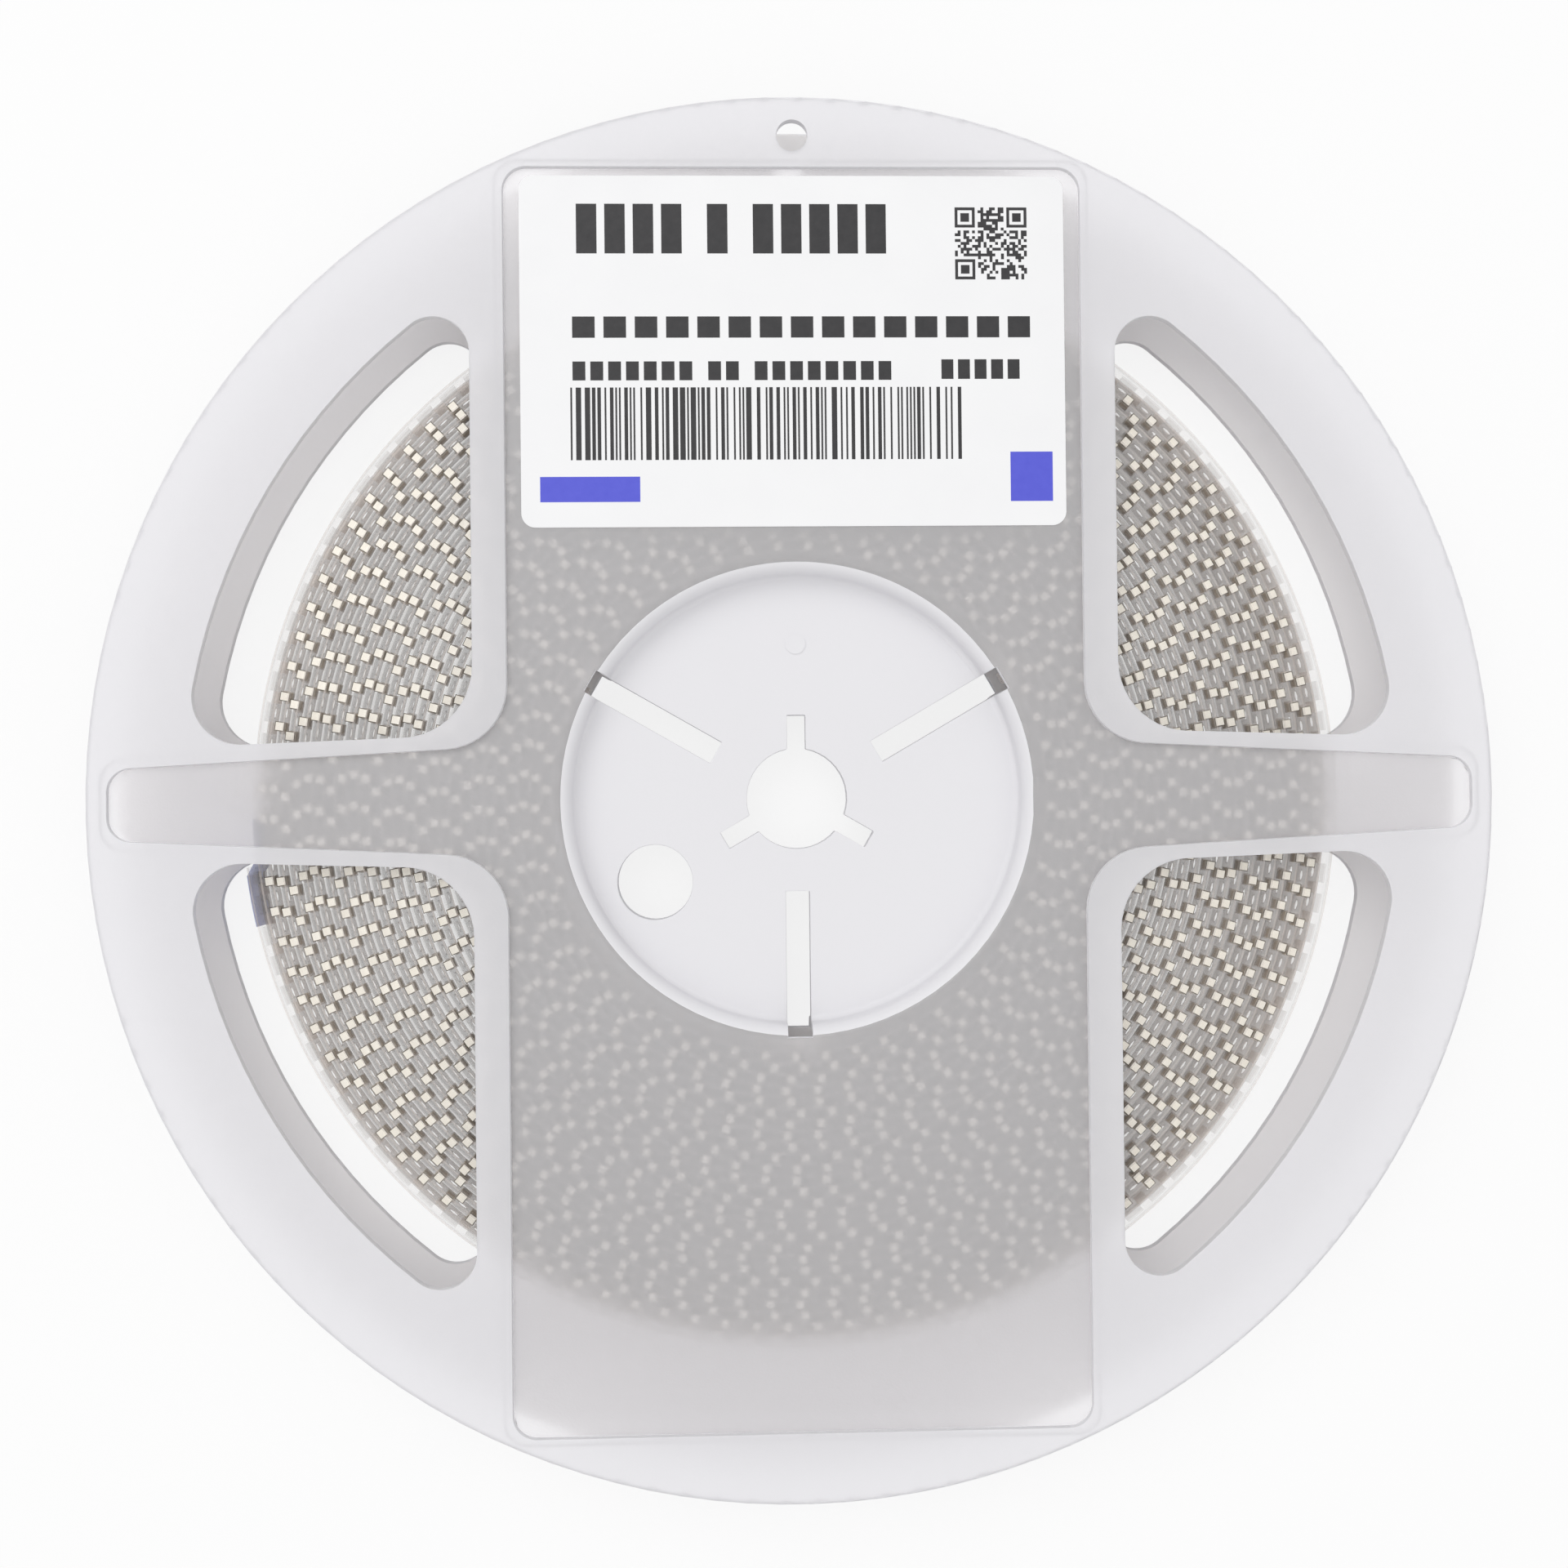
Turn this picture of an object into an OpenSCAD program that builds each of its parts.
// 7-inch reel of embossed carrier tape for surface-mount chips.
// The reel lies flat: its axis is +Z, the rear flange rests on z = 0 and
// the labelled front flange faces up. The label stands on the +Y side.

/* [Flanges] */
// Outer diameter of both flanges
reel_d = 178; // [176:0.5:188]
// Moulded wall thickness of flanges, hub cups and hub plates
wall = 1.2; // [0.9:0.1:1.5]
// Height that rim and window borders stand proud of the recessed cross
raise = 0.8; // [0.4:0.1:1.2]
// Clear width between the recessed panels of the two flanges
cavity_w = 9; // [8.4:0.1:9.9]
// Rounding of the rim's two edges
rim_round = 0.4; // [0.2:0.05:0.5]
// Diameter of the small locating hole near the rim
rim_hole_d = 4; // [2:0.5:5]
// Distance of the locating hole's middle from the reel's outer edge
rim_hole_in = 5; // [4:0.5:6]

/* [Recessed cross] */
// Half-width of the label panel
panel_hw = 36.6; // [35:0.2:37.5]
// Distance of the label panel's ends from the reel's outer edge
panel_in = 9; // [8:0.5:10]
// Corner radius of the label panel
panel_corner = 3; // [1:0.5:5]
// Half-width of a spoke panel at the label panel's edge
spoke_root_hw = 7; // [6:0.1:7.5]
// Half-width of a spoke panel at its outer end
spoke_tip_hw = 4.6; // [3.5:0.1:5.5]
// Distance of the spoke panel's end from the reel's outer edge
spoke_in = 2.7; // [2.3:0.1:4]
// Corner radius of the spoke panel's end
spoke_corner = 3; // [1:0.5:3.5]
// Fillet where a spoke panel meets the label panel
cross_fillet = 8; // [4:1:12]

/* [Windows] */
// Distance of the windows' outer edge from the reel's outer edge
window_in = 12; // [11:0.5:14]
// Distance of the windows' straight edge from the hub's winding surface
window_out = 10.9; // [10.5:0.1:14]
// Height of the spoke-side edge above the centre line at its inner end
window_root_y = 8.4; // [8.3:0.1:10]
// Height of the spoke-side edge above the centre line at the outer arc
window_tip_y = 7.2; // [6.6:0.1:8]
// Fillet of the window's inner corner
window_inner_round = 9; // [5:0.5:12]
// Fillet of the window's corner between spoke and outer arc
window_spoke_round = 6; // [3:0.5:8]
// Fillet of the window's corner between label panel and outer arc
window_panel_round = 4.5; // [2:0.5:7]

/* [Hub] */
// Radius of the hub that the tape is wound on
hub_r = 30; // [29:0.25:30.5]
// Rounding of the hub cup's mouth
mouth_round = 2; // [1:0.25:2.5]
// Fillet between the hub cup's wall and its plate
cup_fillet = 0.8; // [0.4:0.1:1.5]
// Diameter of the arbor bore
bore_d = 13; // [12.8:0.1:13.5]
// Width of the three key slots of the bore
key_w = 2.4; // [2:0.1:2.5]
// Reach of the key slots from the reel's axis
key_reach = 10.8; // [10:0.1:11.4]
// Width of the three long slots in the hub plate
slot_w = 3.1; // [2.5:0.1:3.5]
// Distance of the long slots' inner ends from the reel's axis
slot_from = 12; // [11.9:0.1:16]
// How far the long slots cut out past the hub's winding surface
slot_overrun = 0.3; // [0.1:0.1:0.6]
// Diameter of the round drive hole in the hub plate
drive_hole_d = 9.7; // [8:0.1:11]
// Distance of the drive hole from the reel's axis
drive_hole_at = 21.25; // [20:0.25:22]
// Diameter of the gate mark on the hub plates
gate_d = 2.6; // [1.5:0.1:3.5]
// Distance of the gate mark from the reel's axis
gate_at = 20; // [17:0.5:24]
// Height of the gate mark
gate_h = 0.15; // [0.1:0.05:0.3]

/* [Tape] */
// Width of the carrier tape
tape_w = 8; // [7.9:0.05:8.3]
// Thickness of the tape's flat web
web_t = 0.22; // [0.18:0.01:0.3]
// Wall and floor thickness of the formed pockets
pocket_wall = 0.1; // [0.08:0.01:0.12]
// Distance from the sprocket-side edge to the middle of the pockets
pocket_at = 5.25; // [5.1:0.05:5.35]
// Pitch of the pockets along the tape
pocket_pitch = 4; // [4:1:8]
// Number of half turns that the tape is wound
half_turns = 54; // [30:1:54]
// Direction, seen from the front, in which the outer end of the tape lies
tape_end_angle = 187.4; // [180:0.1:200]
// Distance from the tape's inner end to its first pocket
first_pocket = 2.9; // [2:0.1:6]
// Empty pockets at the inner end
trailer_pockets = 48; // [40:1:60]
// Empty pockets at the outer end
leader_pockets = 105; // [80:1:120]
// Thickness of the cover film
film_t = 0.055; // [0.04:0.005:0.06]
// Width of the cover film
film_w = 5.4; // [5.2:0.1:5.5]
// Distance of the cover film from the tape's free edge
film_inset = 0.2; // [0.1:0.05:0.3]
// Space between one layer of tape and the next
layer_gap = 0.0075; // [0.005:0.0025:0.02]
// Space between the hub and the first turn of tape
hub_gap = 0.02; // [0.01:0.01:0.1]

/* [Chips] */
// Length of a chip, which lies across the tape
chip_l = 2; // [1.6:0.05:2.1]
// Width of a chip along the tape
chip_w = 1.25; // [0.8:0.05:1.4]
// Thickness of a chip
chip_t = 1.25; // [0.8:0.05:1.3]
// Clearance between a chip's ends and its pocket
chip_end_gap = 0.125; // [0.1:0.005:0.15]
// Clearance above and below a chip in its pocket
chip_face_gap = 0.015; // [0.01:0.005:0.02]

/* [Label and end strip] */
// Clearance between the label and the long edges of its panel
label_side_gap = 2; // [1:0.1:6]
// Clearance between the label and the end of its panel
label_end_gap = 0.9; // [0.5:0.1:4]
// Clearance between the label and the hub cup's mouth
label_hub_gap = 3.7; // [3.2:0.1:8]
// Corner radius of the label
label_corner = 1.8; // [0.5:0.1:3]
// Thickness of the label
label_t = 0.12; // [0.08:0.01:0.2]
// Thickness of the strip that holds the tape's outer end
strip_t = 0.06; // [0.04:0.01:0.1]
// Length of the strip that lies on the last turn
strip_on = 6.6; // [4:0.2:10]
// Length of the strip that lies on the turn below
strip_off = 5; // [3:0.2:8]
// Length of the strip's bridge from the last turn down to the one below
strip_step = 2; // [1.6:0.1:3]

/* [Hidden] */
$fn = 96;
eps = 0.02;
cut = 1;                                       // reach of a cutter past a face
reel_r = reel_d / 2;
rim_hole_at = reel_r - rim_hole_in;
panel_hl = reel_r - panel_in;                  // half-length of the label panel
spoke_tip_at = reel_r - spoke_in;
window_r = reel_r - window_in;
window_at = hub_r + window_out;
half_w = cavity_w / 2 + wall + raise;          // half the reel's overall width
panel_top = cavity_w / 2 + wall;               // heights above the mid-plane
raised_under = cavity_w / 2 + raise;
mid_z = half_w;                                // height of the mid-plane
slot_angles = [30, 150, 270];
key_angles = [90, 210, 330];
drive_hole_angle = 210;
rim_hole_angle = 90;
gate_angle = 90;
hub_collar = 2;                                // flat ring of the panel round the hub's mouth
mouth_r = hub_r - wall + mouth_round;
label_w = 2 * (panel_hw - label_side_gap);
label_y0 = mouth_r + label_hub_gap;            // the label's two long edges
label_y1 = panel_hl - label_end_gap;

// Spoke edges run straight: slope and height of the panel's and window's edge
spoke_slope = (spoke_root_hw - spoke_tip_hw) / (spoke_tip_at - panel_hw);
window_slope = (window_root_y - window_tip_y) / (window_r - window_at);

// Tape: radial build of one layer, measured outwards from the layer below
pocket_depth = chip_t + 2 * chip_face_gap;
floor_in = layer_gap;
floor_out = floor_in + pocket_wall;
web_out = floor_out + pocket_depth;
web_in = web_out - web_t;
layer_pitch = web_out + film_t;
neutral = (web_in + web_out) / 2;
tape_z0 = mid_z - cavity_w / 2;                // the tape stands on the rear flange
tape_z1 = tape_z0 + tape_w;
pocket_z = tape_z0 + pocket_at;
pocket_hl = chip_l / 2 + chip_end_gap;
film_z1 = tape_z1 - film_inset;

// The spiral is drawn as half turns about two centres a quarter pitch each
// side of the axis, so every half turn meets the next one tangentially.
spiral_shift = layer_pitch / 4;
base_r = hub_r + hub_gap + spiral_shift;       // inner radius of the first half turn
function half_r(k) = base_r + k * layer_pitch / 2;
function half_centre(k) = k % 2 == 0 ? -spiral_shift : spiral_shift;
function neutral_r(k) = half_r(k) + neutral;
// Length of tape wound before half turn k, along the web's neutral line
function wound(k) = PI * (k * (base_r + neutral) + layer_pitch * k * (k - 1) / 4);
function half_at(s, k = 0) = s < wound(k + 1) ? k : half_at(s, k + 1);
// Place of a point at length s: [half turn, angle in it]
function place(s) = let(k = half_at(s)) [k, (s - wound(k)) / neutral_r(k) * 180 / PI];

pocket_count = floor((wound(half_turns) - first_pocket) / pocket_pitch);
chip_last = pocket_count - leader_pockets - 1;
places = [for (i = [trailer_pockets:chip_last]) place(first_pocket + i * pocket_pitch)];
function turn_of(p) = floor(p[0] / 2) + 1;
function chip_angle(p) = p[1] + (p[0] % 2) * 180;
function chip_r(p) = half_r(p[0]) + floor_out + pocket_depth / 2;
// Chip's centre in the reel's frame
function chip_xy(p) = let(x = half_centre(p[0]) + chip_r(p) * cos(chip_angle(p)),
                          y = -chip_r(p) * sin(chip_angle(p)))
    [x * cos(tape_end_angle) - y * sin(tape_end_angle),
     x * sin(tape_end_angle) + y * cos(tape_end_angle)];
// Chips are drawn where the windows leave the roll open to view
function in_window(q) = abs(q[0]) > window_at - chip_w
    && abs(q[1]) > window_root_y - window_slope * (abs(q[0]) - window_at) - chip_w;
open_places = [for (p = places) if (in_window(chip_xy(p))) p];
function in_turn(t) = [for (p = open_places) if (turn_of(p) == t) p];
chip_turns = [for (t = [1:ceil(half_turns / 2)]) if (len(in_turn(t)) > 0) t];
function turn_name(t) = str("chips_turn_", t < 10 ? "0" : "", t);

module rounded_rect(w, h, r) {
    square([w - 2 * r, h], center = true);
    square([w, h - 2 * r], center = true);
    for (sx = [-1, 1], sy = [-1, 1])
        translate([sx * (w / 2 - r), sy * (h / 2 - r)]) circle(r);
}

// Copies the children into all four quadrants
module quadrants() {
    for (mx = [0, 1], my = [0, 1])
        mirror([mx, 0]) mirror([0, my]) children();
}

// Recessed cross of label panel and two tapered spokes, grown by g all round
module cross_outline(g = 0) {
    f = cross_fillet - g;
    x0 = panel_hw + g;
    y0 = spoke_root_hw + g;
    lean = sqrt(1 + spoke_slope * spoke_slope);
    c = [x0 + f, y0 - spoke_slope * f + f * lean];
    foot = c - f * [spoke_slope, 1] / lean;
    tip_x = spoke_tip_at + g - spoke_corner;
    rounded_rect(2 * x0, 2 * (panel_hl + g), panel_corner);
    quadrants() {
        polygon([[0, 0], [spoke_tip_at + g, 0],
                 [spoke_tip_at + g, spoke_tip_hw + g - spoke_corner],
                 [tip_x, spoke_tip_hw + g], [x0, y0], [0, y0]]);
        translate([tip_x, spoke_tip_hw + g - spoke_corner]) circle(spoke_corner);
        difference() {
            polygon([[x0 - eps, y0 - spoke_corner], foot - [0, eps], c, [x0 - eps, c[1]]]);
            translate(c) circle(f);
        }
    }
}

// Window of the first quadrant: outer arc, two straight edges, three fillets
module window_outline() {
    lean = sqrt(1 + window_slope * window_slope);
    up = [window_slope, 1] / lean;
    far = window_r + cut;
    function edge_y(x) = window_root_y - window_slope * (x - window_at);
    // Inner corner
    ri = window_inner_round;
    ci = [window_at + ri, edge_y(window_at + ri) + ri * lean];
    // Corner between spoke edge and arc
    rs = window_spoke_round;
    k = edge_y(0) + rs * lean;
    q = window_r - rs;
    xs = (k * window_slope + sqrt(lean * lean * q * q - k * k)) / (lean * lean);
    cs = [xs, k - window_slope * xs];
    // Corner between panel edge and arc
    rp = window_panel_round;
    cp = [window_at + rp, sqrt(pow(window_r - rp, 2) - pow(window_at + rp, 2))];
    difference() {
        intersection() {
            circle(window_r, $fn = 180);
            polygon([[window_at, edge_y(window_at)], [far, edge_y(far)], [far, far], [window_at, far]]);
        }
        difference() {
            polygon([[window_at - cut, edge_y(window_at) - cut], ci - (ri + cut) * up, ci,
                     [window_at - cut, ci[1]]]);
            translate(ci) circle(ri);
        }
        difference() {
            polygon([cs - (rs + cut) * up, [far, edge_y(far) - cut], cs * (window_r + cut) / q, cs]);
            translate(cs) circle(rs);
        }
        difference() {
            polygon([[window_at - cut, cp[1]], cp, cp * (window_r + cut) / (window_r - rp),
                     [window_at - cut, window_r]]);
            translate(cp) circle(rp);
        }
    }
}

// Section of the hub from the mid-plane up: plate, cup wall and mouth
module hub_section() {
    cup_r = hub_r - wall;
    difference() {
        union() {
            square([hub_r, wall]);
            translate([cup_r, 0]) square([wall, panel_top]);
            translate([cup_r, cavity_w / 2]) square([mouth_round + hub_collar, wall]);
            difference() {
                translate([cup_r - cup_fillet, wall]) square(cup_fillet);
                translate([cup_r - cup_fillet, wall + cup_fillet]) circle(cup_fillet, $fn = 32);
            }
        }
        difference() {
            translate([cup_r - cut, panel_top - mouth_round]) square(mouth_round + cut);
            translate([cup_r + mouth_round, panel_top - mouth_round]) circle(mouth_round, $fn = 48);
            translate([cup_r + mouth_round, panel_top - mouth_round]) square(mouth_round + cut);
        }
    }
}

// Section of the raised disc with its rounded rim
module disc_section() {
    translate([hub_r, raised_under]) square([reel_r - rim_round - hub_r, wall]);
    translate([hub_r, raised_under + rim_round]) square([reel_r - hub_r, wall - 2 * rim_round]);
    for (z = [raised_under + rim_round, half_w - rim_round])
        translate([reel_r - rim_round, z]) circle(rim_round, $fn = 32);
}

// One moulded half with its mid-plane at z = 0 and its outer face up
module moulded_half() {
    deep = 2 * half_w;
    difference() {
        union() {
            rotate_extrude($fn = 180) hub_section();
            difference() {
                rotate_extrude($fn = 180) disc_section();
                linear_extrude(deep) cross_outline();
            }
            translate([0, 0, cavity_w / 2]) linear_extrude(wall) difference() {
                cross_outline(wall);
                circle(mouth_r + hub_collar / 2);
            }
            rotate(gate_angle) translate([gate_at, 0, wall - eps])
                cylinder(d = gate_d, h = gate_h + eps, $fn = 32);
        }
        translate([0, 0, -cut]) linear_extrude(deep) quadrants() window_outline();
        translate([0, 0, -cut]) cylinder(d = bore_d, h = deep);
        for (a = key_angles)
            rotate(a) translate([0, -key_w / 2, -cut]) cube([key_reach, key_w, deep]);
        for (a = slot_angles)
            rotate(a) translate([slot_from, -slot_w / 2, -cut])
                cube([hub_r + slot_overrun - slot_from, slot_w, deep]);
        rotate(drive_hole_angle) translate([drive_hole_at, 0, -cut]) cylinder(d = drive_hole_d, h = deep);
        rotate(rim_hole_angle) translate([rim_hole_at, 0, -cut]) cylinder(d = rim_hole_d, h = deep, $fn = 48);
    }
}

// Front moulding: the flange that carries the label, with its half of the hub
module front_flange() {
    color([0.90, 0.91, 0.93]) translate([0, 0, mid_z]) moulded_half();
}

// Rear moulding, the front one's mirror image; the two hub plates meet
module rear_flange() {
    color([0.84, 0.85, 0.88]) translate([0, 0, mid_z]) mirror([0, 0, 1]) moulded_half();
}

// Sweeps a radial section along the wound tape, half turn by half turn.
// The section's x is the distance outwards from the layer below.
module wind(from = 0, to = half_turns - 1) {
    rotate(tape_end_angle) mirror([0, 1, 0])
        for (k = [from:to])
            translate([half_centre(k), 0, 0]) rotate(k % 2 == 0 ? 0 : 180)
                rotate_extrude(angle = 180) translate([half_r(k), 0]) children();
}

// Carrier tape: flat web with the row of pockets formed towards the hub
module carrier_tape() {
    z0 = pocket_z - pocket_hl;
    z1 = pocket_z + pocket_hl;
    color([0.80, 0.80, 0.78, 0.45]) wind()
        polygon([[web_in, tape_z0], [web_out, tape_z0], [web_out, z0], [floor_out, z0],
                 [floor_out, z1], [web_out, z1], [web_out, tape_z1], [web_in, tape_z1],
                 [web_in, z1 + pocket_wall], [floor_in, z1 + pocket_wall],
                 [floor_in, z0 - pocket_wall], [web_in, z0 - pocket_wall]]);
}

// Cover film sealed over the pockets on the tape's outer side
module cover_tape() {
    color([0.93, 0.94, 0.95, 0.4]) wind()
        translate([web_out, film_z1 - film_w]) square([film_t, film_w]);
}

// One chip, its length across the tape
module chip(p) {
    translate([half_centre(p[0]), 0, pocket_z]) rotate(chip_angle(p))
        translate([chip_r(p), 0, 0]) cube([chip_t, chip_w, chip_l], center = true);
}

// Chips of one turn of the roll
module chips_turn(t) {
    color([0.86, 0.82, 0.72]) rotate(tape_end_angle) mirror([0, 1, 0])
        for (p = in_turn(t)) chip(p);
}

// Ring sector from angle a0 to a1, its inner arc of radius r about (cx, 0)
module arc_band(cx, r, t, a0, a1) {
    reach = r + t + cut;
    mid = (a0 + a1) / 2;
    translate([cx, 0]) intersection() {
        difference() {
            circle(r + t, $fn = 180);
            circle(r, $fn = 180);
        }
        polygon([[0, 0], reach * [cos(a0), sin(a0)], reach * 1.1 * [cos(mid), sin(mid)],
                 reach * [cos(a1), sin(a1)]]);
    }
}

// Adhesive strip over the outer end: it lies on the last turn, bridges the
// step at the tape's end and lies on the turn below.
module end_strip() {
    last = half_turns - 1;
    side = last % 2 == 0 ? 180 : 0;
    cx_on = half_centre(last);
    cx_off = half_centre(last - 1);
    r_on = half_r(last) + layer_pitch;
    r_off = half_r(last - 1) + layer_pitch;
    on_deg = strip_on / r_on * 180 / PI;
    step_deg = strip_step / r_off * 180 / PI;
    off_deg = strip_off / r_off * 180 / PI;
    lap_deg = strip_t / r_off * 180 / PI;
    function on_point(r) = [cx_on + r * cos(side - lap_deg), r * sin(side - lap_deg)];
    function off_point(r) = [cx_off + r * cos(side + step_deg), r * sin(side + step_deg)];
    color([0.36, 0.42, 0.72, 0.7]) rotate(tape_end_angle) mirror([0, 1, 0])
        translate([0, 0, tape_z0]) linear_extrude(tape_w) {
            arc_band(cx_on, r_on, strip_t, side - on_deg, side);
            polygon([on_point(r_on), on_point(r_on + strip_t),
                     off_point(r_off + strip_t), off_point(r_off)]);
            arc_band(cx_off, r_off, strip_t, side + step_deg - lap_deg, side + step_deg + off_deg);
        }
}

// Paper label in the recessed panel
module label() {
    color("white") translate([0, (label_y0 + label_y1) / 2, mid_z + panel_top])
        linear_extrude(label_t) rounded_rect(label_w, label_y1 - label_y0, label_corner);
}

front_flange();
rear_flange();
carrier_tape();
cover_tape();
end_strip();
label();
for (t = chip_turns)
    chips_turn(t);
